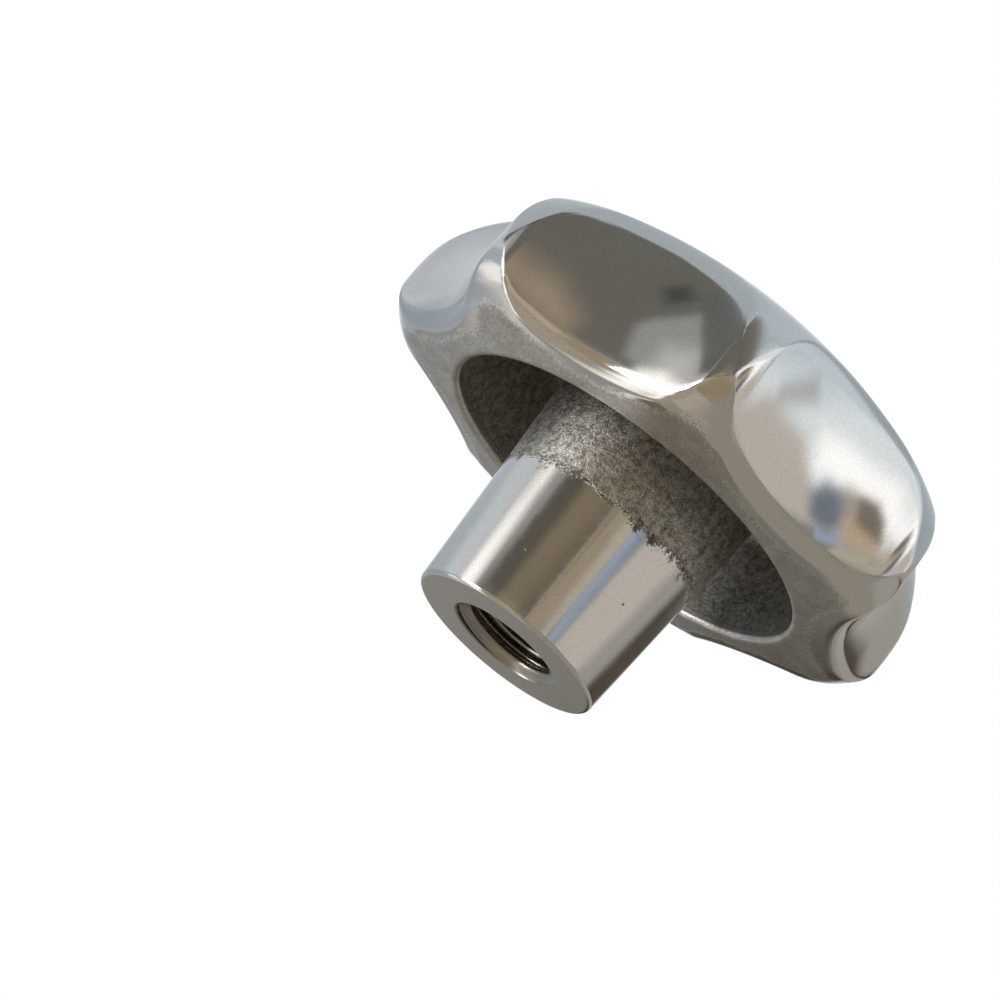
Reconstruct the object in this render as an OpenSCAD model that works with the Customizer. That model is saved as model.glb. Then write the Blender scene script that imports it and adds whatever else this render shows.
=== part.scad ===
// Star knob cast in one piece: a lobed head with a domed top, a hollow underside and a threaded hub.
// The hub face lies on z = 0 with its centre at the origin, +Z runs along the hub into the dome,
// and one lobe points along +X. All sizes are in millimetres.

/* [Head] */
// Diameter over the tips of the lobes
head_d = 63; // [60:0.5:68]
// Height from the hub face to the crown of the dome
total_h = 41.3; // [40.5:0.1:43.5]
// Number of lobes
lobes = 7; // [6:1:8]
// How far each scallop cuts in from the circle through the lobe tips
scallop_depth = 5.3; // [4.6:0.1:6]
// Radius of a lobe's nose, seen along the axis
nose_r = 3.1; // [2.8:0.1:3.6]
// Radius of the domed top
dome_r = 57.5; // [54:0.5:66]
// Radius of the shoulder between the dome and the lobe tips
shoulder_r = 11.3; // [10.5:0.1:12]
// Slope of the underside between the hollow's lip and the lobe tips, in degrees
under_slope = 8; // [6:0.5:9]
// Radius of the slight crown up the wall of each scallop
wall_crown_r = 34; // [28:1:60]
// Rounding where a scallop runs out into the shoulder
top_blend_r = 4.5; // [4:0.1:5.5]
// Rounding where a scallop runs out into the underside
low_blend_r = 2; // [1.5:0.1:2.6]

/* [Hollow] */
// Diameter of the hollow's mouth
hollow_d = 41.2; // [40:0.2:42]
// Depth of the hollow, from the underside of the head to its roof
hollow_depth = 12.6; // [11:0.2:13.4]
// Draft of the hollow's wall, in degrees
hollow_draft = 5; // [3:0.5:8]
// Radius between the hollow's wall and its roof
hollow_corner_r = 3; // [2:0.25:3.5]
// Rounding of the hollow's lip
lip_r = 0.5; // [0.3:0.05:0.7]
// Width of the flat left round the lip
lip_flat = 0.3; // [0.2:0.05:0.5]

/* [Hub] */
// Diameter of the hub's seating face
face_d = 21; // [20:0.1:22]
// Height of the head's underside above the hub face
hub_h = 19; // [18.5:0.5:21]
// Draft of the hub, in degrees
hub_draft = 3.6; // [2.5:0.1:4.2]
// Rounding of the edge round the seating face
face_edge_r = 0.4; // [0.2:0.05:0.6]
// Radius at the root of the hub, where it meets the roof of the hollow
root_r = 2.5; // [1.5:0.25:3]

/* [Threaded hole] */
// Radius of the hole through the crests of an M12 thread
hole_r = 5.05; // [4.2:0.05:5.2]
// Depth of the threaded wall below the seating face
thread_depth = 22; // [18:0.5:24]
// Drilled depth beyond the thread, before the point
run_out = 3; // [2:0.5:4]
// Radius of the countersunk mouth
mouth_r = 6.1; // [5.5:0.05:6.4]
// Full angle of the countersink, in degrees
mouth_angle = 120; // [90:5:120]

/* [Hidden] */
// Slices round each nose and each scallop
nose_steps = 9;
scallop_steps = 10;
// Slices up each part of the section
low_steps = 7;
wall_steps = 4;
high_steps = 10;
dome_steps = 5;
// Facing of turned surfaces
turn_fn = 128;

head_r = head_d / 2;
half = 180 / lobes;

// The outline is made of nose arcs and scallop arcs that meet at a tangent.
nose_c = head_r - nose_r;
valley_r = head_r - scallop_depth;
scallop_r = (nose_c * nose_c + valley_r * valley_r
    - 2 * nose_c * valley_r * cos(half) - nose_r * nose_r)
    / (2 * (nose_r - valley_r + nose_c * cos(half)));
scallop_c = valley_r + scallop_r;
nose_half = atan2(scallop_c * sin(half), scallop_c * cos(half) - nose_c);

// The section through a lobe tip is a dome arc, a shoulder arc, an under arc and a sloping line,
// and each meets the next at a tangent. The shoulder arc and the under arc meet at the tip.
dome_z = total_h - dome_r;
shoulder_c = head_r - shoulder_r;
shoulder_z = dome_z + sqrt(pow(dome_r - shoulder_r, 2) - pow(shoulder_c, 2));
shoulder_end = atan2(shoulder_z - dome_z, shoulder_c);
lip_edge_r = hollow_d / 2 + lip_r + lip_flat;
under_r = (shoulder_z - hub_h - (head_r - lip_edge_r) * tan(under_slope))
    / (1 / cos(under_slope) - tan(under_slope));
under_c = head_r - under_r;

// Sizes of the hollow and of the hub inside it.
mouth_edge_r = hollow_d / 2;
roof_z = hub_h + hollow_depth;
face_r = face_d / 2;
point_h = hole_r / tan(59);
mouth_h = (mouth_r - hole_r) / tan(mouth_angle / 2);

function spin(p, a) = [p[0] * cos(a) - p[1] * sin(a), p[0] * sin(a) + p[1] * cos(a)];

function nose_point(i) =
    let (a = nose_half * (2 * i / nose_steps - 1))
    [nose_c + nose_r * cos(a), nose_r * sin(a)];

function scallop_point(i) =
    let (a = nose_half + 2 * (half - nose_half) * i / scallop_steps + 180)
    [scallop_c * cos(half) + scallop_r * cos(a), scallop_c * sin(half) + scallop_r * sin(a)];

// The closed outline of the head, seen along the axis.
outline = [for (k = [0 : lobes - 1]) each concat(
    [for (i = [0 : nose_steps]) spin(nose_point(i), 2 * half * k)],
    [for (i = [1 : scallop_steps - 1]) spin(scallop_point(i), 2 * half * k)])];

// Section points where the outline is at radius w, given as radius and height.
// The wall is an arc that is widest at the height of the tips. The rounding circles below and above
// it touch it from inside, and also the underside or the shoulder.
function crown_c(w) = w - wall_crown_r;

// Centre of a rounding circle of radius b, measured from the centre of the wall's arc. The circle
// touches the wall and a circle of radius r round [c, shoulder_z].
function inside_both(w, c, r, b) =
    let (gap = c - crown_c(w), reach = wall_crown_r - b)
    let (x = (gap * gap + reach * reach - pow(r - b, 2)) / (2 * gap))
    [x, sqrt(max(0, reach * reach - x * x))];

// The same for one that touches the wall and the sloping underside.
function on_slope(w) =
    let (s = under_slope, reach = wall_crown_r - low_blend_r,
        h = (lip_edge_r - crown_c(w)) * sin(s) + (shoulder_z - hub_h) * cos(s) - low_blend_r,
        q = sqrt(max(0, reach * reach - h * h)))
    [h * sin(s) + q * cos(s), q * sin(s) - h * cos(s)];

// Angle at which the lower circle leaves the under arc, or the underside where it misses the arc.
function arc_turn(w) =
    let (c = inside_both(w, under_c, under_r, low_blend_r)) atan2(-c[1], crown_c(w) + c[0] - under_c);
function on_arc(w) = arc_turn(w) > under_slope - 90;
function low_turn(w) = max(arc_turn(w), under_slope - 90);
function low_c(w) = on_arc(w)
    ? let (c = inside_both(w, under_c, under_r, low_blend_r)) [c[0], -c[1]]
    : on_slope(w);
function wall_start(w) = atan2(low_c(w)[1], low_c(w)[0]);
function low_point(w, a) = a < low_turn(w)
    ? [under_c + under_r * cos(a), shoulder_z + under_r * sin(a)]
    : [crown_c(w) + low_c(w)[0] + low_blend_r * cos(a), shoulder_z + low_c(w)[1] + low_blend_r * sin(a)];

function wall_point(w, a) = [crown_c(w) + wall_crown_r * cos(a), shoulder_z + wall_crown_r * sin(a)];

function high_c(w) = inside_both(w, shoulder_c, shoulder_r, top_blend_r);
function wall_end(w) = atan2(high_c(w)[1], high_c(w)[0]);
function high_turn(w) = atan2(high_c(w)[1], crown_c(w) + high_c(w)[0] - shoulder_c);
function high_point(w, a) = a > high_turn(w)
    ? [shoulder_c + shoulder_r * cos(a), shoulder_z + shoulder_r * sin(a)]
    : [crown_c(w) + high_c(w)[0] + top_blend_r * cos(a), shoulder_z + high_c(w)[1] + top_blend_r * sin(a)];

function dome_point(a) = [dome_r * cos(a), dome_z + dome_r * sin(a)];

function share(a, b, i, n) = a + (b - a) * i / n;

function section(w) = let (start = wall_start(w), end = wall_end(w)) concat(
    [[lip_edge_r, hub_h]],
    [for (i = [0 : low_steps]) low_point(w, share(under_slope - 90, start, i, low_steps))],
    [for (i = [1 : wall_steps - 1]) wall_point(w, share(start, end, i, wall_steps))],
    [for (i = [0 : high_steps]) high_point(w, share(end, shoulder_end, i, high_steps))],
    [for (i = [1 : dome_steps - 1]) dome_point(share(shoulder_end, 90, i, dome_steps))]);

// The solid head: the section swept round the outline, closed below by the flat underside.
module head_skin() {
    n = len(outline);
    rows = len(section(head_r));
    points = concat(
        [for (p = outline) let (w = norm(p)) each
            [for (s = section(w)) [p[0] / w * s[0], p[1] / w * s[0], s[1]]]],
        [[0, 0, total_h]]);
    sides = [for (j = [0 : n - 1]) for (i = [0 : rows - 2]) each
        let (a = j * rows + i, b = (j + 1) % n * rows + i)
        [[a, a + 1, b + 1], [a, b + 1, b]]];
    crown = [for (j = [0 : n - 1]) [(j + 1) % n * rows + rows - 1, j * rows + rows - 1, n * rows]];
    floor_face = [[for (j = [0 : n - 1]) j * rows]];
    polyhedron(points = points, faces = concat(floor_face, sides, crown), convexity = 6);
}

function arc(cx, cz, r, a0, a1, n) =
    [for (i = [0 : n]) [cx + r * cos(a0 + (a1 - a0) * i / n), cz + r * sin(a0 + (a1 - a0) * i / n)]];

// The hollow under the head, with a rounded lip, a drafted wall and a rounded corner at the roof.
module hollow() {
    wall_top = mouth_edge_r - (hollow_depth - lip_r - hollow_corner_r) * tan(hollow_draft);
    rotate_extrude($fn = turn_fn)
        polygon(concat(
            [[0, hub_h - 1], [mouth_edge_r + lip_r, hub_h - 1]],
            arc(mouth_edge_r + lip_r, hub_h + lip_r, lip_r, 270, 180, 4),
            arc(wall_top - hollow_corner_r, roof_z - hollow_corner_r, hollow_corner_r, 0, 90, 6),
            [[0, roof_z]]));
}

// The tapered hub, with a flared root that runs into the solid above the roof.
module hub() {
    root_c = face_r + (roof_z - root_r) * tan(hub_draft) + root_r;
    rotate_extrude($fn = turn_fn)
        polygon(concat(
            [[0, 0]],
            arc(face_r - face_edge_r, face_edge_r, face_edge_r, 270, 360, 4),
            arc(root_c, roof_z - root_r, root_r, 180, 96, 6),
            [[root_c, roof_z + 1.5], [0, roof_z + 1.5]]));
}

// The blind hole for the thread, with its countersunk mouth and its drill point.
module threaded_hole() {
    translate([0, 0, -1])
        cylinder(r = hole_r, h = thread_depth + run_out + 1, $fn = turn_fn);
    translate([0, 0, thread_depth + run_out])
        cylinder(r1 = hole_r, r2 = 0, h = point_h, $fn = turn_fn);
    translate([0, 0, -1])
        cylinder(r1 = mouth_r + tan(mouth_angle / 2), r2 = hole_r, h = mouth_h + 1, $fn = turn_fn);
}

module knob() {
    color([0.62, 0.61, 0.6])
        difference() {
            union() {
                difference() {
                    head_skin();
                    hollow();
                }
                hub();
            }
            threaded_hole();
        }
}

knob();
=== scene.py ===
from math import atan2, cos, hypot, pi, radians, sin, sqrt, tan
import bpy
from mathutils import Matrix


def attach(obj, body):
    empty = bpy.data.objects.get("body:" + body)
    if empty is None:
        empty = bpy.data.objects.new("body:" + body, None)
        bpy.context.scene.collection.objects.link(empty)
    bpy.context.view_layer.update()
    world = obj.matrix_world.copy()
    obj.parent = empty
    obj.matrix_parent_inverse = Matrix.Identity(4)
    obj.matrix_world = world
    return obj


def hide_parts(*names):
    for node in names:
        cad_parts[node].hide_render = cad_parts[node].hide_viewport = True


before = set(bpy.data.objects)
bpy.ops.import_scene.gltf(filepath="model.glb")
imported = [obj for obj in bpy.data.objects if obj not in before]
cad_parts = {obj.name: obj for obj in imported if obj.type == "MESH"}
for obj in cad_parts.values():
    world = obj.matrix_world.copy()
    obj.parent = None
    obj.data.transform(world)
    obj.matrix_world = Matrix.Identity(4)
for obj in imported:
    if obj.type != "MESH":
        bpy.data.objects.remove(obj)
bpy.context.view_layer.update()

from types import SimpleNamespace

import bmesh
import bpy
from mathutils import Matrix, Vector

MM = 0.001

# The photograph's view looks up at the underside, with the hub to the lower left. Its turns are in
# degrees, and its lens and sensor in millimetres.
VIEW_AZIMUTH = 0.35
VIEW_ELEVATION = -16.8
VIEW_ROLL = 39.8
VIEW_DISTANCE = 384.6 * MM
FACE_RIGHT_OF_CENTRE = 0.37 * MM
FACE_BELOW_CENTRE = 14.06 * MM
LENS = 142.15
SENSOR_WIDTH = 36
NEAREST_SEEN = 10 * MM

# Sizes of the knob in millimetres, the same as in the part's source.
HEAD_R = 31.5
TOTAL_H = 41.3
LOBES = 7
SCALLOP_DEPTH = 5.3
NOSE_R = 3.1
DOME_R = 57.5
SHOULDER_R = 11.3
UNDER_SLOPE = radians(8)
WALL_CROWN_R = 34.0
TOP_BLEND_R = 4.5
LOW_BLEND_R = 2.0
MOUTH_EDGE_R = 20.6
HOLLOW_DEPTH = 12.6
HOLLOW_DRAFT = radians(5)
HOLLOW_CORNER_R = 3.0
LIP_R = 0.5
LIP_FLAT = 0.3
FACE_R = 10.5
HUB_H = 19.0
HUB_DRAFT = radians(3.6)
FACE_EDGE_R = 0.4
ROOT_R = 2.5
CREST_R = 5.05
ROOT_OF_THREAD_R = 6.05
PITCH = 1.75
THREAD_DEPTH = 22.0
RUN_OUT = 3.0
MOUTH_R = 6.1
MOUTH_SLOPE = radians(60)
DRILL_HALF_ANGLE = radians(59)

# Slices of the visible mesh, finer than the solid's: for each side of a nose and each scallop, for the
# parts of the section from the underside's rounding to the dome, and for small edges and corners.
NOSE_STEPS = 7
SCALLOP_STEPS = 24
LOW_STEPS = 12
WALL_STEPS = 8
HIGH_STEPS = 20
DOME_STEPS = 30
EDGE_STEPS = 5
CORNER_STEPS = 6
THREAD_SLICES = 96

# Points on the straight part of the underside, as shares of its length. They are close at its ends.
UNDER_SHARES = (0, 0.02, 0.25, 0.5, 0.75, 0.97)

# A straight part of the inner section that is longer than LEAST_GAP starts and ends with a SHORT_STEP.
LEAST_GAP = 0.3
SHORT_STEP = 0.06

# Angles that differ by less than this are the same.
SAME_ANGLE = 0.000001

# The polishing left an edge on one side of the first lobe's nose: its radius, and the turn where it ends.
EDGE_R = 0.2
EDGE_TURN = radians(30)

HALF = pi / LOBES
NOSE_C = HEAD_R - NOSE_R
VALLEY_R = HEAD_R - SCALLOP_DEPTH
SCALLOP_R = ((NOSE_C ** 2 + VALLEY_R ** 2 - 2 * NOSE_C * VALLEY_R * cos(HALF) - NOSE_R ** 2)
             / (2 * (NOSE_R - VALLEY_R + NOSE_C * cos(HALF))))
SCALLOP_C = VALLEY_R + SCALLOP_R
NOSE_HALF = atan2(SCALLOP_C * sin(HALF), SCALLOP_C * cos(HALF) - NOSE_C)

DOME_Z = TOTAL_H - DOME_R
SHOULDER_C = HEAD_R - SHOULDER_R
SHOULDER_Z = DOME_Z + sqrt((DOME_R - SHOULDER_R) ** 2 - SHOULDER_C ** 2)
SHOULDER_END = atan2(SHOULDER_Z - DOME_Z, SHOULDER_C)
LIP_EDGE_R = MOUTH_EDGE_R + LIP_R + LIP_FLAT
UNDER_R = ((SHOULDER_Z - HUB_H - (HEAD_R - LIP_EDGE_R) * tan(UNDER_SLOPE))
           / (1 / cos(UNDER_SLOPE) - tan(UNDER_SLOPE)))
UNDER_C = HEAD_R - UNDER_R
ROOF_Z = HUB_H + HOLLOW_DEPTH
BOTTOM_Z = THREAD_DEPTH + RUN_OUT
POINT_H = CREST_R / tan(DRILL_HALF_ANGLE)

# The thread's corners are eased by THREAD_EASE, and it ends THREAD_END before its full depth. Points of
# it that are closer than WELD become one.
THREAD_EASE = 0.12
THREAD_END = 1.0
WELD = 0.0005

# Where the finishes begin and end. Points of the inner section within HUB_REACH of the axis and below
# HUB_TOP_Z are on the hub. Cast skin covers the hub from SKIN_Z up, and the hollow except for LIP_TRIM at
# its mouth. The satin band reaches from SATIN_INNER_R to SATIN_GAP inside the outline.
HUB_REACH = 16.0
HUB_TOP_Z = ROOF_Z - 3
FACE_TOP_Z = 0.01
SKIN_Z = 14.8
LIP_TRIM = 0.7
SATIN_INNER_R = 19.0
SATIN_TOP_Z = 24.0
SATIN_GAP = 3.2
# A point that is nowhere near the edge of a finish counts as this far inside or outside it.
FAR_PAST = 6.0
# The hub's darker band, partly staining and partly a painted dark reflection: the turn of its middle and
# half its width, in radians, and the height above the face from which it is full.
STAIN_AND_REFLECTION_TURN = -0.28
STAIN_AND_REFLECTION_HALF = 0.28
STAIN_AND_REFLECTION_RISE = 5.0
FINISH_LAYERS = ("cast", "satin", "face", "hollow", "stain_and_reflection")


def spread(start, end, steps):
    """Values in equal steps from start to end, both of them included."""
    return [start + (end - start) * i / steps for i in range(steps + 1)]


def plain_side():
    """Half of a lobe's nose, from the scallop on its -Y side to its tip."""
    return [Vector((NOSE_C + NOSE_R * cos(a), NOSE_R * sin(a))) for a in spread(-NOSE_HALF, 0, NOSE_STEPS)]


def edged_side():
    """The half nose with an edge: a small radius beside the scallop, then a larger one up to the tip."""
    scallop = Vector((SCALLOP_C * cos(HALF), -SCALLOP_C * sin(HALF)))
    turned = Vector((cos(EDGE_TURN), -sin(EDGE_TURN)))
    away = scallop - Vector((HEAD_R, 0)) + EDGE_R * turned
    step = Vector((1, 0)) - turned
    # With a larger radius r, the edge's centre is away + r * step from the scallop's, and they touch.
    square, half_linear = step.dot(step), away.dot(step)
    root = sqrt(half_linear ** 2 - square * (away.dot(away) - (SCALLOP_R + EDGE_R) ** 2))
    r = (-half_linear - root) / square
    edge = Vector((HEAD_R - r, 0)) + (r - EDGE_R) * turned
    start = atan2(scallop.y - edge.y, scallop.x - edge.x)
    small = [edge + EDGE_R * Vector((cos(a), sin(a))) for a in spread(start, -EDGE_TURN, EDGE_STEPS)]
    large = [Vector((HEAD_R - r + r * cos(a), r * sin(a))) for a in spread(-EDGE_TURN, 0, NOSE_STEPS)]
    return small + large[1:]


def outline():
    """The head's outline seen along the axis: the two sides of a nose and then a scallop, for each lobe."""
    points = []
    for lobe in range(LOBES):
        turn = Matrix.Rotation(2 * HALF * lobe, 2)
        first = edged_side() if lobe == 0 else plain_side()
        second = [Vector((p.x, -p.y)) for p in reversed(plain_side())]
        points += [turn @ p for p in first + second[1:]]
        centre = Vector((SCALLOP_C * cos(HALF), SCALLOP_C * sin(HALF)))
        next_side = edged_side() if lobe == LOBES - 1 else plain_side()
        leave = second[-1] - centre
        meet = Matrix.Rotation(2 * HALF, 2) @ next_side[0] - centre
        for a in spread(atan2(leave.y, leave.x), atan2(meet.y, meet.x), SCALLOP_STEPS)[1:-1]:
            points.append(turn @ (centre + SCALLOP_R * Vector((cos(a), sin(a)))))
    return points


def on_circle(x, z, r, a):
    """A point at angle a on a circle whose centre is z above the height of the lobes' tips."""
    return x + r * cos(a), SHOULDER_Z + z + r * sin(a)


def arc(cx, cz, r, a0, a1, steps):
    """Points of an arc in the section plane, as radius and height. Angles are in degrees."""
    return [(cx + r * cos(a), cz + r * sin(a)) for a in spread(radians(a0), radians(a1), steps)]


def inside_both(w, middle, r, b, side):
    """Centre of a circle of radius b that touches two arcs from inside: the crowned wall, and one of
    radius r round middle. It is measured from the centre of the wall's arc, and side -1 takes the lower
    of the two. The last value is the angle at which it touches the second arc."""
    gap = Vector((w - WALL_CROWN_R, SHOULDER_Z)) - middle
    reach = WALL_CROWN_R - b
    along = ((r - b) ** 2 - reach ** 2 - gap.dot(gap)) / (2 * gap.length)
    ahead = gap.normalized()
    sideways = Vector((ahead.y, -ahead.x))
    centre = along * ahead + side * sqrt(max(0, reach ** 2 - along ** 2)) * sideways
    touch = centre + gap
    return centre.x, centre.y, atan2(touch.y, touch.x)


def low_circle(w):
    """The rounding between the underside and the wall: its centre, and the angle where it begins. It
    touches the sloping line where it misses the arc at the end of the underside."""
    x, z, turn = inside_both(w, Vector((UNDER_C, SHOULDER_Z)), UNDER_R, LOW_BLEND_R, -1)
    if turn > UNDER_SLOPE - pi / 2:
        return x, z, turn
    reach = WALL_CROWN_R - LOW_BLEND_R
    h = ((LIP_EDGE_R - w + WALL_CROWN_R) * sin(UNDER_SLOPE)
         + (SHOULDER_Z - HUB_H) * cos(UNDER_SLOPE) - LOW_BLEND_R)
    q = sqrt(max(0, reach ** 2 - h ** 2))
    return (h * sin(UNDER_SLOPE) + q * cos(UNDER_SLOPE), q * sin(UNDER_SLOPE) - h * cos(UNDER_SLOPE),
            UNDER_SLOPE - pi / 2)


def high_circle(w):
    """The rounding between the wall and the shoulder, or the dome where it reaches that far: its centre,
    the angle where it ends, and the angle where the dome begins."""
    x, z, turn = inside_both(w, Vector((SHOULDER_C, SHOULDER_Z)), SHOULDER_R, TOP_BLEND_R, 1)
    if turn > SHOULDER_END:
        x, z, turn = inside_both(w, Vector((0, DOME_Z)), DOME_R, TOP_BLEND_R, 1)
    return x, z, turn, max(turn, SHOULDER_END)


def outer_section(w):
    """From the flat round the lip over the underside, the wall and the shoulder to the crown."""
    low_x, low_z, low_turn = low_circle(w)
    high_x, high_z, high_turn, dome_turn = high_circle(w)
    middle = w - WALL_CROWN_R
    start, end = atan2(low_z, low_x), atan2(high_z, high_x)

    low = []
    for a in spread(UNDER_SLOPE - pi / 2, start, LOW_STEPS):
        on_under = a < low_turn
        low.append(on_circle(UNDER_C, 0, UNDER_R, a) if on_under
                   else on_circle(middle + low_x, low_z, LOW_BLEND_R, a))
    span, rise = low[0][0] - LIP_EDGE_R, low[0][1] - HUB_H
    under = [(LIP_EDGE_R + span * t, HUB_H + rise * t) for t in UNDER_SHARES]
    wall = [on_circle(middle, 0, WALL_CROWN_R, a) for a in spread(start, end, WALL_STEPS)[1:-1]]
    high = []
    for a in spread(end, dome_turn, HIGH_STEPS):
        on_shoulder = a > high_turn + SAME_ANGLE
        high.append(on_circle(SHOULDER_C, 0, SHOULDER_R, a) if on_shoulder
                    else on_circle(middle + high_x, high_z, TOP_BLEND_R, a))
    dome = [(DOME_R * cos(a), DOME_Z + DOME_R * sin(a))
            for a in spread(dome_turn, pi / 2, DOME_STEPS)[1:-1]]
    return under + low + wall + high + dome


def joined(*runs):
    """Section runs one after another. Straight steps of about a millimetre fill the gaps, with a short
    step at each end, so that smooth shading keeps a flat flat right up to its rounding."""
    points = list(runs[0])
    for run in runs[1:]:
        a, b = points[-1], run[0]
        gap = hypot(b[0] - a[0], b[1] - a[1])
        if gap > LEAST_GAP:
            count = max(1, round(gap))
            short = SHORT_STEP / gap
            shares = [short] + [i / count for i in range(1, count)] + [1 - short]
            points += [(a[0] + (b[0] - a[0]) * t, a[1] + (b[1] - a[1]) * t) for t in shares]
        points += run
    return points


def inner_section():
    """From the thread's mouth over the hub face, up the hub, round the hollow and out to the lip."""
    root_c = FACE_R + (ROOF_Z - ROOT_R) * tan(HUB_DRAFT) + ROOT_R
    wall_top = MOUTH_EDGE_R - (HOLLOW_DEPTH - LIP_R - HOLLOW_CORNER_R) * tan(HOLLOW_DRAFT)
    return joined(
        [(MOUTH_R, 0)],
        arc(FACE_R - FACE_EDGE_R, FACE_EDGE_R, FACE_EDGE_R, 270, 360, EDGE_STEPS),
        arc(root_c, ROOF_Z - ROOT_R, ROOT_R, 180, 96, CORNER_STEPS),
        arc(wall_top - HOLLOW_CORNER_R, ROOF_Z - HOLLOW_CORNER_R, HOLLOW_CORNER_R, 90, 0, CORNER_STEPS),
        arc(MOUTH_EDGE_R + LIP_R, HUB_H + LIP_R, LIP_R, 180, 270, EDGE_STEPS))


def mesh_object(name, bm):
    """A smooth-shaded object in the scene, with the mesh that bm holds."""
    mesh = bpy.data.meshes.new(name)
    bm.to_mesh(mesh)
    bm.free()
    mesh.polygons.foreach_set("use_smooth", [True] * len(mesh.polygons))
    made = bpy.data.objects.new(name, mesh)
    bpy.context.scene.collection.objects.link(made)
    return made


def new_piece(name, bm):
    """A piece of the knob on its root body, which stands for the solid."""
    piece = mesh_object(name, bm)
    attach(piece, "root")
    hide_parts("knob")
    return piece


def lay_skin(bm, rings, next_rings, tip):
    """Faces between each ring of vertices and the one after it, and from their ends to the tip."""
    for a, b in zip(rings, next_rings):
        for i in range(len(a) - 1):
            bm.faces.new((a[i], a[i + 1], b[i + 1], b[i]))
        bm.faces.new((a[-1], tip, b[-1]))


def finishes(inside, turn, w, r, z):
    """What the steel's material needs to tell its finishes apart, in the order of FINISH_LAYERS. The point
    has radius r and height z, in a section at an angle of turn where the outline's radius is w. cast and
    satin are millimetres inside that finish, face and hollow are 0 or 1, and the last is the strength of
    the hub's darker band, partly staining and partly a painted dark reflection."""
    on_hub = inside and r < HUB_REACH and z < HUB_TOP_Z
    in_hollow = inside and not on_hub
    if on_hub:
        cast = z - SKIN_Z
    else:
        cast = FAR_PAST if in_hollow and z >= HUB_H + LIP_TRIM else -FAR_PAST
    satin = w - SATIN_GAP - r if r > SATIN_INNER_R and z < SATIN_TOP_Z else -FAR_PAST
    on_face = inside and z < FACE_TOP_Z
    stain_and_reflection = min(1 - abs(turn - STAIN_AND_REFLECTION_TURN) / STAIN_AND_REFLECTION_HALF, z / STAIN_AND_REFLECTION_RISE) if on_hub else -1
    return cast, satin, float(on_face), float(in_hollow), stain_and_reflection


def make_casting():
    """The whole outside of the casting, from the thread's mouth to the crown of the dome. Each vertex
    carries the numbers of its finishes."""
    bm = bmesh.new()
    layers = [bm.verts.layers.float.new(name) for name in FINISH_LAYERS]

    def vertex(place, *spot):
        v = bm.verts.new(Vector(place) * MM)
        for layer, value in zip(layers, finishes(*spot)):
            v[layer] = value
        return v

    inner = inner_section()
    rings = []
    for p in outline():
        u, w = p.normalized(), p.length
        ring = []
        for i, (r, z) in enumerate(inner + outer_section(w)):
            ring.append(vertex((u.x * r, u.y * r, z), i < len(inner), atan2(u.y, u.x), w, r, z))
        rings.append(ring)
    crown = vertex((0, 0, TOTAL_H), False, 0, 0, 0, TOTAL_H)
    lay_skin(bm, rings, rings[1:] + rings[:1], crown)
    return new_piece("knob_casting", bm)


def thread_profile():
    """One pitch of an internal thread, as steps along the axis and radii."""
    crest_flat = PITCH / 4
    root_flat = PITCH / 8
    flank = (PITCH - root_flat - crest_flat) / 2
    root_start = crest_flat + flank
    root_end = root_start + root_flat
    return [(0, CREST_R), (crest_flat, CREST_R),
            (crest_flat + THREAD_EASE, CREST_R + THREAD_EASE),
            (root_start - THREAD_EASE, ROOT_OF_THREAD_R - THREAD_EASE),
            (root_start, ROOT_OF_THREAD_R), (root_end, ROOT_OF_THREAD_R),
            (root_end + THREAD_EASE, ROOT_OF_THREAD_R - THREAD_EASE),
            (PITCH - THREAD_EASE, CREST_R + THREAD_EASE)]


def thread_point(r, z):
    """The thread's point at radius r and height z, as the countersink and the thread's end leave it."""
    if z <= 0:
        return MOUTH_R, 0
    if z > THREAD_DEPTH - THREAD_END:
        r = CREST_R
    sunk = MOUTH_R - z * tan(MOUTH_SLOPE)
    return max(r, sunk), min(z, THREAD_DEPTH)


def make_thread():
    """The threaded wall, its countersunk mouth and the drilled end of the hole."""
    bm = bmesh.new()
    profile = thread_profile()
    pitches = int(THREAD_DEPTH / PITCH) + 2
    rings = []
    for s in range(THREAD_SLICES + 1):
        lead = PITCH * s / THREAD_SLICES - PITCH
        column = [thread_point(r, k * PITCH + along + lead) for k in range(pitches) for along, r in profile]
        column += [(CREST_R, BOTTOM_Z), (CREST_R / 2, BOTTOM_Z + POINT_H / 2)]
        a = 2 * pi * s / THREAD_SLICES
        rings.append([bm.verts.new(Vector((r * cos(a), r * sin(a), z)) * MM) for r, z in column])
    tip = bm.verts.new((0, 0, (BOTTOM_Z + POINT_H) * MM))
    lay_skin(bm, rings, rings[1:], tip)
    bmesh.ops.remove_doubles(bm, verts=bm.verts, dist=WELD * MM)
    bmesh.ops.dissolve_degenerate(bm, edges=bm.edges, dist=WELD * MM)
    return new_piece("thread_wall", bm)


def view_axes():
    """The photograph's right, up and towards-the-camera directions, as the columns of a matrix."""
    azimuth, elevation, roll = (radians(v) for v in (VIEW_AZIMUTH, VIEW_ELEVATION, VIEW_ROLL))
    back = Vector((cos(elevation) * cos(azimuth), cos(elevation) * sin(azimuth), sin(elevation)))
    level = Vector((0, 0, 1)).cross(back).normalized()
    upright = back.cross(level)
    right = cos(roll) * level + sin(roll) * upright
    up = cos(roll) * upright - sin(roll) * level
    return Matrix((right, up, back)).transposed()


def set_camera():
    """The photograph's view, with the hub face at its place in the frame."""
    axes = view_axes()
    camera = bpy.data.objects.new("camera", bpy.data.cameras.new("camera"))
    bpy.context.scene.collection.objects.link(camera)
    place = axes @ Vector((-FACE_RIGHT_OF_CENTRE, FACE_BELOW_CENTRE, VIEW_DISTANCE))
    camera.matrix_world = Matrix.Translation(place) @ axes.to_4x4()
    camera.data.lens = LENS
    camera.data.sensor_width = SENSOR_WIDTH
    camera.data.sensor_fit = "HORIZONTAL"
    camera.data.clip_start = NEAREST_SEEN
    bpy.context.scene.camera = camera


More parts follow.
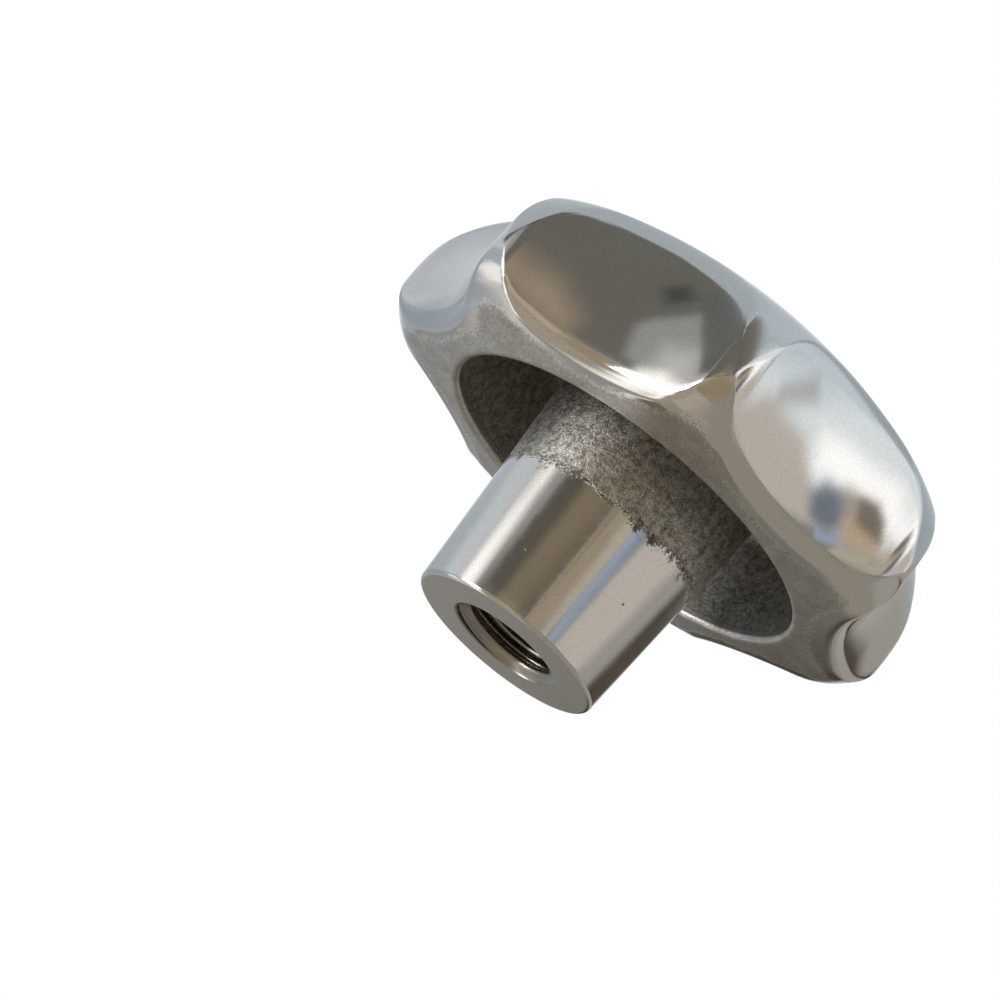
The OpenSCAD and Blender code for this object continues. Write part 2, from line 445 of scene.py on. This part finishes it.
class Nodes:
    """Short calls for building a node tree."""

    def __init__(self, tree):
        self.tree = tree
        tree.nodes.clear()

    def add(self, kind, values=(), **settings):
        """A new node. values are (input, number or colour or socket) pairs."""
        node = self.tree.nodes.new("ShaderNode" + kind)
        for name, value in settings.items():
            setattr(node, name, value)
        for key, value in values:
            if isinstance(value, bpy.types.NodeSocket):
                self.tree.links.new(value, node.inputs[key])
            else:
                node.inputs[key].default_value = value
        return node

    def math(self, operation, a, b):
        return self.add("Math", [(0, a), (1, b)], operation=operation).outputs[0]

    def combine(self, operation, values):
        """The values taken together one after another, such as their sum."""
        total = values[0]
        for value in values[1:]:
            total = self.math(operation, total, value)
        return total

    def plus(self, *values):
        return self.combine("ADD", values)

    def times(self, *values):
        return self.combine("MULTIPLY", values)

    def rest(self, share):
        """What a share leaves of 1."""
        return self.math("SUBTRACT", 1.0, share)

    def ramp(self, value, low, high, to_low=0.0, to_high=1.0):
        """Goes smoothly from to_low to to_high as value goes from low to high."""
        node = self.add("MapRange", [("Value", value), ("From Min", low), ("From Max", high),
                                     ("To Min", to_low), ("To Max", to_high)],
                        interpolation_type="SMOOTHSTEP")
        return node.outputs[0]

    def blend(self, share, a, b):
        """Colour a where share is 0 and b where it is 1."""
        node = self.add("Mix", [("Factor", share), (6, a), (7, b)], data_type="RGBA")
        return node.outputs[2]

    def noise(self, place, scale, detail=2.0, roughness=0.5):
        return self.add("TexNoise", [("Vector", place), ("Scale", scale), ("Detail", detail),
                                     ("Roughness", roughness)]).outputs[0]

    def swing(self, *noise):
        """A noise about 0, from -0.5 to 0.5."""
        return self.math("SUBTRACT", self.noise(*noise), 0.5)

    def layer(self, name):
        """The number that each vertex of the mesh carries under a name."""
        return self.add("Attribute", attribute_name=name).outputs["Fac"]

    def metal(self, colour, roughness, height):
        """Ends a material's tree in bare metal. height is that of its relief, in metres."""
        bump = self.add("Bump", [("Height", height), ("Strength", 1.0), ("Distance", 1.0)])
        shader = self.add("BsdfPrincipled", [("Base Color", colour), ("Metallic", 1.0),
                                             ("Roughness", roughness), ("Normal", bump.outputs[0])])
        self.add("OutputMaterial", [("Surface", shader.outputs[0])])


def tone(r, g, b):
    """A colour given as screen tones from 0 to 255, as linear light."""
    return [((v / 255 + 0.055) / 1.055) ** 2.4 if v > 10 else v / 255 / 12.92 for v in (r, g, b)]


def new_material(name):
    """A material, and the helper that builds its tree."""
    material = bpy.data.materials.new(name)
    material.use_nodes = True
    return material, Nodes(material.node_tree)


# Colours of the steel's finishes, as linear light. Where there are two, a noise blends them.
POLISHED = (0.63, 0.62, 0.605, 1), (0.67, 0.665, 0.655, 1)
SATIN = (0.50, 0.485, 0.455, 1), (0.60, 0.59, 0.57, 1)
SATIN_EDGE = (0.85, 0.84, 0.81, 1)
HUB_SKIN = (0.24, 0.225, 0.20, 1), (0.68, 0.65, 0.60, 1)
HUB_SPARKS = (0.94, 0.92, 0.88, 1)
HOLLOW_SKIN = (0.15, 0.142, 0.126, 1), (0.44, 0.43, 0.405, 1)
# The hub's darker band: partly staining, partly a painted dark reflection.
STAIN_AND_REFLECTION_COLOUR = (0.22, 0.20, 0.17, 1)
PITTED = (0.20, 0.18, 0.155, 1)
DIRTY = (0.11, 0.085, 0.075, 1)
# The cut thread, darkened as painted shade inside the hole.
CUT_AND_PAINTED_SHADE = (0.20, 0.18, 0.155, 1), (0.42, 0.40, 0.36, 1)
BLACK = (0, 0, 0, 1)

# Heights of the steel's relief.
WAVES_H = 0.04 * MM
POLISH_H = 0.0012 * MM
SATIN_H = 0.025 * MM
SKIN_H = 0.12 * MM
PIT_DEPTH = 0.04 * MM
TOOL_MARKS_H = 0.02 * MM


def steel_noises(n, place):
    """The noises that make the steel uneven, from slow to fine."""
    lumps = n.noise(place, 1300, 4, 0.7)
    grit = n.noise(place, 4800, 3, 0.65)
    return SimpleNamespace(
        smudge=n.noise(place, 90, 3, 0.55),
        waves=n.noise(place, 110, 1),
        drift=n.swing(place, 160, 2),
        mottle=n.noise(place, 420, 3, 0.6),
        patches=n.noise(place, 620, 4, 0.7),
        wander=n.swing(place, 800, 4, 0.65),
        crust=n.plus(n.times(grit, 0.4), n.times(lumps, 0.6)),
        stipple=n.swing(place, 3400, 3, 0.65),
        grain=n.noise(place, 3600, 3, 0.65),
        polish=n.noise(place, 5200, 2),
        flecks=n.noise(place, 7600, 1, 0.5))


def steel_finishes(n, place, noises):
    """How much of each finish a place on the steel has, from 0 to 1."""
    edge = n.plus(n.times(noises.wander, 2.0), n.times(noises.drift, 2.6), n.times(noises.stipple, 2.2))
    skin_edge = n.plus(n.layer("cast"), edge)
    cast = n.ramp(skin_edge, -0.35, 0.35)
    bare = n.rest(cast)
    satin = n.times(n.ramp(n.plus(n.layer("satin"), edge), -0.6, 0.6), bare)

    # Small pits that the polish has opened in the casting, in some of the cells.
    cells = n.add("TexVoronoi", [("Vector", place), ("Scale", 300)])
    reach = n.plus(cells.outputs["Distance"], n.times(noises.stipple, 0.09))
    chosen = n.add("SeparateXYZ", [(0, cells.outputs["Color"])]).outputs[0]
    pit = n.times(n.ramp(reach, 0.018, 0.045, 1, 0), n.ramp(chosen, 0.55, 0.6), bare)

    # One side of the hub is darker, partly staining and partly a painted dark reflection.
    stain_and_reflection = n.plus(n.layer("stain_and_reflection"), n.times(noises.wander, 0.5))
    stain_and_reflection = n.times(n.ramp(stain_and_reflection, 0, 0.35), bare)

    # Dirt lies in patches along the edge of the skin on the hub.
    dirt = n.times(n.ramp(skin_edge, -1.3, -0.4), n.ramp(skin_edge, 0.6, 2.0, 1, 0),
                   n.ramp(noises.patches, 0.54, 0.62), n.rest(n.layer("hollow")))
    return SimpleNamespace(cast=cast, satin=satin, pit=pit, stain_and_reflection=stain_and_reflection, dirt=dirt,
                           face=n.layer("face"), hollow=n.times(cast, n.layer("hollow")))


def steel_colour(n, noises, parts):
    """The polished steel's colour, with that of each other finish laid over it."""
    # The grain of the polish darkens it a little, and the hub's band of staining and painted dark
    # reflection more.
    polished = n.blend(noises.smudge, *POLISHED)
    polished = n.blend(n.ramp(noises.polish, 0.3, 0.7, 0.12, 0.0), polished, BLACK)
    polished = n.blend(n.times(parts.stain_and_reflection, 0.5), polished, STAIN_AND_REFLECTION_COLOUR)

    # The satin is darker in its grain, and pale where it runs out.
    satin = n.blend(n.ramp(noises.mottle, 0.35, 0.65), *SATIN)
    satin = n.blend(n.ramp(noises.grain, 0.38, 0.62), n.blend(0.72, BLACK, satin), satin)
    satin_edge = n.times(parts.satin, n.rest(parts.satin), 4.0)
    satin = n.blend(n.times(satin_edge, n.ramp(noises.grain, 0.45, 0.55)), satin, SATIN_EDGE)

    # The skin on the hub's root sparkles, and the skin in the hollow is darker.
    skin = n.blend(n.ramp(noises.crust, 0.38, 0.62), *HUB_SKIN)
    sparks = n.times(n.ramp(noises.flecks, 0.58, 0.66), n.ramp(noises.mottle, 0.42, 0.56))
    skin = n.blend(sparks, skin, HUB_SPARKS)
    skin = n.blend(parts.hollow, skin, n.blend(n.ramp(noises.crust, 0.36, 0.64), *HOLLOW_SKIN))

    colour = n.blend(parts.satin, polished, satin)
    colour = n.blend(parts.cast, colour, skin)
    colour = n.blend(parts.pit, colour, PITTED)
    return n.blend(n.times(parts.dirt, 0.8), colour, DIRTY)


def steel_roughness(n, noises, parts):
    """A polished roughness, and what each other finish adds to it."""
    return n.plus(n.ramp(noises.smudge, 0.3, 0.7, 0.08, 0.13),
                  n.times(parts.satin, n.ramp(noises.grain, 0.3, 0.7, 0.30, 0.22)),
                  n.times(parts.cast, n.ramp(noises.flecks, 0.45, 0.68, 0.36, 0.12)),
                  n.times(parts.face, 0.22),
                  n.times(parts.hollow, 0.22),
                  n.times(n.math("MAXIMUM", parts.pit, parts.dirt), 0.3))


def steel_height(n, noises, parts):
    """Slow waves and fine grain of hand polishing, satin grain, cast skin and pits."""
    return n.plus(n.times(noises.waves, WAVES_H),
                  n.times(noises.polish, POLISH_H),
                  n.times(noises.grain, parts.satin, SATIN_H),
                  n.times(noises.crust, parts.cast, SKIN_H),
                  n.times(parts.pit, -PIT_DEPTH))


def steel_material():
    """Cast stainless steel, mirror-polished outside, satin on the underside and as-cast in the hollow."""
    material, n = new_material("cast_stainless_steel")
    place = n.add("TexCoord").outputs["Object"]
    noises = steel_noises(n, place)
    parts = steel_finishes(n, place, noises)
    n.metal(steel_colour(n, noises, parts),
            steel_roughness(n, noises, parts),
            steel_height(n, noises, parts))
    return material


def thread_material():
    """Cut steel inside the hole, with fine tool marks round the thread. Its colour is darkened as painted
    shade inside the hole.
    """
    material, n = new_material("cut_thread_steel")
    place = n.add("TexCoord").outputs["Object"]
    stretched = n.add("Mapping", [("Vector", place), ("Scale", (300, 300, 6000))]).outputs[0]
    marks = n.noise(stretched, 1.0, 3)
    n.metal(n.blend(marks, *CUT_AND_PAINTED_SHADE), n.ramp(marks, 0.3, 0.7, 0.20, 0.36), n.times(marks, TOOL_MARKS_H))
    return material


# What stands round the knob in the studio, as the steel shows it: name, tones from 0 to 255, softness of
# the edge, and corners. A corner is a place on a mirror ball seen from the camera, from -1 to 1 across and
# up. Every card is convex. STUDIO_TONE is seen between the cards and BEHIND_TONE straight behind the knob.
STUDIO_TONE = (157, 164, 169)
BEHIND_TONE = (172, 178, 182)
CARDS = [
    # The room, and the light that falls on the hub.
    ("upper_light", (172, 180, 187), 0.20,
     [(0.30, 0.62), (0.62, 0.72), (0.78, 0.60), (0.60, 0.45)]),
    ("far_right", (146, 153, 157), 0.12,
     [(0.72, 0.50), (0.90, 0.55), (0.98, 0.0), (0.84, -0.30), (0.76, 0.10)]),
    ("left_light", (180, 184, 189), 0.16,
     [(-0.70, 0.70), (-0.58, 0.86), (-0.42, 0.80), (-0.52, 0.62)]),
    ("left_wall", (142, 149, 155), 0.15,
     [(-0.98, 0.50), (-0.80, 0.64), (-0.74, 0.55), (-0.80, -0.50), (-0.98, -0.50)]),
    ("hub_light", (188, 192, 194), 0.10,
     [(-0.64, 0.66), (-0.40, 0.58), (-0.40, 0.48), (-0.60, 0.54)]),
    # The bench below.
    ("bench", (134, 129, 119), 0.08,
     [(-0.46, 0.50), (0.11, 0.20), (0.23, 0.12), (0.68, -0.34), (0.84, -0.69), (0.56, -1.05),
      (-0.33, -1.10), (-0.67, -0.56), (-0.66, -0.07), (-0.56, 0.30)]),
    ("bench_right", (146, 143, 137), 0.10,
     [(0.60, -0.30), (0.96, -0.30), (0.91, -0.69), (0.56, -1.0), (0.20, -0.80)]),
    ("bench_left", (120, 120, 118), 0.12,
     [(-0.67, -0.56), (-0.90, -0.50), (-0.87, -0.78), (-0.33, -1.1)]),
    ("dark_corner", (104, 100, 92), 0.14,
     [(-0.60, -0.68), (-0.44, -0.76), (-0.28, -0.88), (-0.34, -0.99), (-0.58, -0.88)]),
    ("lower_rim", (60, 56, 50), 0.10,
     [(-0.50, -0.86), (0.12, -0.93), (0.12, -1.04), (-0.34, -1.04), (-0.56, -0.92)]),
    ("hub_edge", (70, 64, 57), 0.07,
     [(0.64, -0.46), (0.77, -0.48), (0.80, -0.66), (0.67, -0.70)]),
    # Boards on the bench.
    ("tan_board", (140, 128, 106), 0.10,
     [(-0.46, 0.36), (-0.30, 0.40), (0.20, 0.14), (0.02, -0.02), (-0.30, -0.06), (-0.52, 0.05)]),
    ("tan_bright", (168, 155, 135), 0.08,
     [(-0.24, 0.24), (-0.04, 0.24), (-0.06, 0.10), (-0.34, 0.03)]),
    ("tan_low", (152, 142, 126), 0.14,
     [(-0.50, 0.02), (-0.10, 0.02), (-0.12, -0.08), (-0.56, -0.56), (-0.64, -0.50)]),
    ("seam_dark", (136, 123, 100), 0.06,
     [(0.08, 0.08), (0.13, 0.03), (-0.22, -0.24), (-0.26, -0.18)]),
    ("seam_pale", (162, 152, 140), 0.05,
     [(-0.24, -0.18), (-0.20, -0.25), (-0.44, -0.54), (-0.50, -0.47)]),
    # A bright sheet on the right, and the posts and cloth in front of it.
    ("sheet", (212, 218, 221), 0.06,
     [(0.24, 0.20), (0.28, 0.34), (0.50, 0.50), (0.70, 0.34), (0.78, 0.10), (0.785, -0.24),
      (0.72, -0.36)]),
    ("sheet_right", (186, 196, 202), 0.12,
     [(0.66, 0.30), (0.84, 0.38), (0.88, 0.10), (0.77, -0.20), (0.70, 0.02)]),
    ("sheet_edge", (166, 169, 169), 0.05,
     [(0.69, -0.02), (0.745, -0.02), (0.735, -0.18), (0.69, -0.20)]),
    ("sheet_glow", (256, 255, 253), 0.09,
     [(0.27, 0.23), (0.42, 0.24), (0.58, 0.09), (0.62, 0.0), (0.54, -0.06), (0.46, 0.02), (0.29, 0.195)]),
    ("sheet_beige", (178, 171, 162), 0.06,
     [(0.40, -0.03), (0.62, -0.08), (0.72, -0.22), (0.70, -0.36), (0.50, -0.28), (0.36, -0.12)]),
    ("sheet_grey", (126, 124, 117), 0.05,
     [(0.22, 0.16), (0.29, 0.13), (0.36, -0.02), (0.44, -0.20), (0.34, -0.26), (0.20, 0.0)]),
    ("post_tan", (146, 134, 114), 0.05,
     [(0.08, 0.21), (0.12, 0.25), (0.27, 0.11), (0.24, 0.02), (0.10, 0.14)]),
    ("post_pale", (168, 161, 146), 0.02,
     [(0.24, 0.12), (0.28, 0.13), (0.325, 0.03), (0.30, -0.02)]),
    ("post_blue", (142, 156, 172), 0.014,
     [(0.314, 0.05), (0.345, 0.05), (0.40, -0.05), (0.34, -0.055)]),
    ("spot_grey", (156, 149, 140), 0.05,
     [(0.35, 0.08), (0.42, 0.135), (0.475, 0.07), (0.465, 0.01), (0.38, 0.01)]),
    ("blue_cloth", (104, 111, 121), 0.055,
     [(0.375, 0.04), (0.468, 0.045), (0.505, 0.0), (0.478, -0.058), (0.412, -0.062), (0.372, -0.01)]),
    ("tan_post", (176, 156, 133), 0.05,
     [(0.275, 0.14), (0.31, 0.17), (0.395, 0.095), (0.395, 0.045), (0.33, 0.035)]),
    ("brown_post", (114, 105, 94), 0.03,
     [(0.30, 0.155), (0.35, 0.172), (0.405, 0.16), (0.44, 0.10), (0.375, 0.085)]),
    # The dark side of the yard, round the camera.
    ("camera_side", (97, 96, 90), 0.03,
     [(-0.345, 0.47), (-0.42, 0.55), (-0.47, 0.62), (-0.43, 0.68), (-0.33, 0.735), (-0.10, 0.75),
      (0.07, 0.72), (0.19, 0.60), (0.20, 0.40), (0.12, 0.16), (0.10, 0.17)]),
    ("camera_warm", (104, 98, 88), 0.12,
     [(-0.25, 0.47), (-0.05, 0.42), (0.12, 0.36), (0.18, 0.24), (0.0, 0.20)]),
    ("camera_patch", (140, 140, 138), 0.045,
     [(-0.19, 0.53), (-0.19, 0.58), (-0.235, 0.69), (-0.40, 0.66), (-0.46, 0.60), (-0.42, 0.52),
      (-0.28, 0.47)]),
    ("patch_light", (180, 179, 175), 0.10,
     [(-0.30, 0.58), (-0.36, 0.64), (-0.45, 0.62), (-0.47, 0.56), (-0.37, 0.50)]),
    ("camera_shelf", (92, 92, 88), 0.014,
     [(-0.16, 0.693), (-0.44, 0.6254), (-0.50, 0.64), (-0.46, 0.70), (-0.33, 0.74), (-0.14, 0.75)]),
    ("camera_spot", (66, 66, 66), 0.045,
     [(-0.165, 0.68), (-0.10, 0.675), (-0.085, 0.62), (-0.15, 0.615)]),
    ("camera_tan", (146, 133, 113), 0.11,
     [(-0.14, 0.33), (0.0, 0.26), (0.10, 0.22), (0.14, 0.27), (0.02, 0.37), (-0.10, 0.39)]),
    ("camera_arm", (98, 94, 88), 0.02,
     [(0.20, 0.52), (0.51, 0.64), (0.29, 0.27), (0.16, 0.16), (0.17, 0.38)]),
    # Lamps on the left, and the pale edge beyond them.
    ("lamp_top", (262, 260, 255), 0.06,
     [(-0.45, 0.565), (-0.385, 0.55), (-0.345, 0.49), (-0.36, 0.40), (-0.50, 0.20), (-0.60, 0.22)]),
    ("lamp_middle", (268, 266, 262), 0.07,
     [(-0.60, 0.27), (-0.50, 0.27), (-0.56, -0.10), (-0.66, -0.10)]),
    ("lamp_low", (258, 256, 250), 0.07,
     [(-0.66, -0.05), (-0.58, -0.05), (-0.62, -0.42), (-0.67, -0.42)]),
    ("edge_top", (235, 234, 230), 0.05,
     [(-0.67, 0.24), (-0.73, -0.05), (-0.79, -0.05), (-0.77, 0.20), (-0.70, 0.30)]),
    ("edge_low", (196, 190, 180), 0.05,
     [(-0.73, 0.0), (-0.67, -0.64), (-0.72, -0.64), (-0.80, 0.0)]),
]
# The share of light that the steel reflects. The cards are brighter by as much.
STEEL_SHINE = 0.62

# The tent's size, and where its part straight behind the knob begins and is full, as cosines of the angle
# from the direction of the camera.
TENT_R = 2.0
TENT_SLICES = 96
BEHIND_START = -0.94
BEHIND_FULL = -0.985

# The floor lies just under the hub face. It fades out between two distances from the knob.
FLOOR_HALF = 4
FLOOR_GAP = 0.2 * MM
FLOOR_COLOUR = (0.90, 0.90, 0.90, 1)
FADE_START = 0.15
FADE_END = 1.2

# The strength with which the white world lights the floor. Where it is seen, its strength is 1.
WORLD_LIGHT = 0.75


def card_light(tones):
    """The light of a card which the steel shows in the given tones."""
    return [v / STEEL_SHINE for v in tone(*tones)] + [1]


def card_share(n, spot, soft, corners):
    """How much of a card there is at a spot, from 0 to 1. The nearest side decides."""
    corners = [Vector(c) for c in corners]
    sides = list(zip(corners, corners[1:] + corners[:1]))
    turn = 1 if sum(a.cross(b) for a, b in sides) > 0 else -1
    depths = []
    for a, b in sides:
        inward = Vector((a.y - b.y, b.x - a.x)).normalized() * turn
        line = (inward.x, inward.y, -inward.dot(a))
        depths.append(n.add("VectorMath", [(0, spot), (1, line)], operation="DOT_PRODUCT").outputs["Value"])
    return n.ramp(n.combine("MINIMUM", depths), -soft / 2, soft / 2)


def tent_material():
    """A plain tone with the cards laid over it, one after another."""
    material, n = new_material("studio")
    place = n.add("TexCoord").outputs["Object"]
    way = n.add("VectorMath", [(0, place)], operation="NORMALIZE").outputs[0]
    behind = n.ramp(n.add("SeparateXYZ", [(0, way)]).outputs[2], BEHIND_START, BEHIND_FULL)
    # The mirror ball shows this way where its surface faces half way between it and the camera.
    half_way = n.add("VectorMath", [(0, way), (1, (0, 0, 1))], operation="ADD").outputs[0]
    half_way = n.add("VectorMath", [(0, half_way)], operation="NORMALIZE").outputs[0]
    across = n.add("SeparateXYZ", [(0, half_way)])
    spot = n.add("CombineXYZ", [(0, across.outputs[0]), (1, across.outputs[1]), (2, 1.0)]).outputs[0]
    colour = card_light(STUDIO_TONE)
    for _, tones, soft, corners in CARDS:
        colour = n.blend(card_share(n, spot, soft, corners), colour, card_light(tones))
    # Straight behind the knob, where every grazing reflection looks, is one plain tone.
    colour = n.blend(behind, colour, card_light(BEHIND_TONE))
    glow = n.add("Emission", [("Color", colour), ("Strength", 1.0)])
    n.add("OutputMaterial", [("Surface", glow.outputs[0])])
    material.cycles.emission_sampling = "NONE"
    return material


def make_studio():
    """A round tent that only reflections see. Its inside carries the cards."""
    bm = bmesh.new()
    bmesh.ops.create_uvsphere(bm, u_segments=TENT_SLICES, v_segments=TENT_SLICES // 2, radius=TENT_R)
    tent = mesh_object("studio", bm)
    tent.matrix_world = view_axes().to_4x4()
    tent.visible_camera = tent.visible_diffuse = tent.visible_shadow = False
    tent.data.materials.append(tent_material())


def floor_material():
    """Pale where it is looked at or lit from above, and open to every other ray."""
    material, n = new_material("floor")
    ray = n.add("LightPath")
    place = n.add("TexCoord").outputs["Object"]
    # Far from the knob it fades into the white, so that no horizon shows.
    far = n.add("VectorMath", [(0, place)], operation="LENGTH").outputs["Value"]
    open_to = n.combine("MAXIMUM", [ray.outputs["Is Glossy Ray"], ray.outputs["Is Shadow Ray"],
                                    ray.outputs["Is Transmission Ray"],
                                    n.add("NewGeometry").outputs["Backfacing"],
                                    n.ramp(far, FADE_START, FADE_END)])
    pale = n.add("BsdfDiffuse", [("Color", FLOOR_COLOUR)])
    clear = n.add("BsdfTransparent")
    both = n.add("MixShader", [(0, open_to), (1, pale.outputs[0]), (2, clear.outputs[0])])
    n.add("OutputMaterial", [("Surface", both.outputs[0])])
    return material


def make_floor():
    """A pale floor under the hub face."""
    bm = bmesh.new()
    bmesh.ops.create_grid(bm, x_segments=1, y_segments=1, size=FLOOR_HALF)
    floor = mesh_object("floor", bm)
    floor.location.z = -FLOOR_GAP
    floor.data.materials.append(floor_material())


def make_world():
    """White behind everything, and a plain grey light on the floor."""
    world = bpy.data.worlds.new("world")
    bpy.context.scene.world = world
    world.use_nodes = True
    n = Nodes(world.node_tree)
    ray = n.add("LightPath")
    seen = n.combine("MAXIMUM", [ray.outputs["Is Camera Ray"], ray.outputs["Is Glossy Ray"],
                                 ray.outputs["Is Transmission Ray"]])
    strength = n.ramp(seen, 0, 1, WORLD_LIGHT, 1.0)
    light = n.add("Background", [("Color", (1, 1, 1, 1)), ("Strength", strength)])
    n.add("OutputWorld", [("Surface", light.outputs[0])])


def make_lamp(name, place, size, energy):
    """A square soft lamp that faces the knob."""
    data = bpy.data.lights.new(name, "AREA")
    data.size = size
    data.energy = energy
    lamp = bpy.data.objects.new(name, data)
    lamp.location = place
    lamp.rotation_euler = lamp.location.to_track_quat("Z", "Y").to_euler()
    lamp.visible_camera = False
    bpy.context.scene.collection.objects.link(lamp)
    return lamp


casting = make_casting()
casting.data.materials.append(steel_material())
thread = make_thread()
thread.data.materials.append(thread_material())
set_camera()
make_studio()
make_floor()
make_world()
# A wide lamp above gives the floor its shadow. A low one on the left makes the cast skin sparkle.
make_lamp("top_lamp", Vector((0.35, -0.35, 0.75)), size=0.6, energy=3.0).visible_glossy = False
make_lamp("side_lamp", Vector((0.28, -0.92, -0.26)), size=0.4, energy=3.5).visible_diffuse = False

bpy.context.scene.view_settings.view_transform = "Standard"
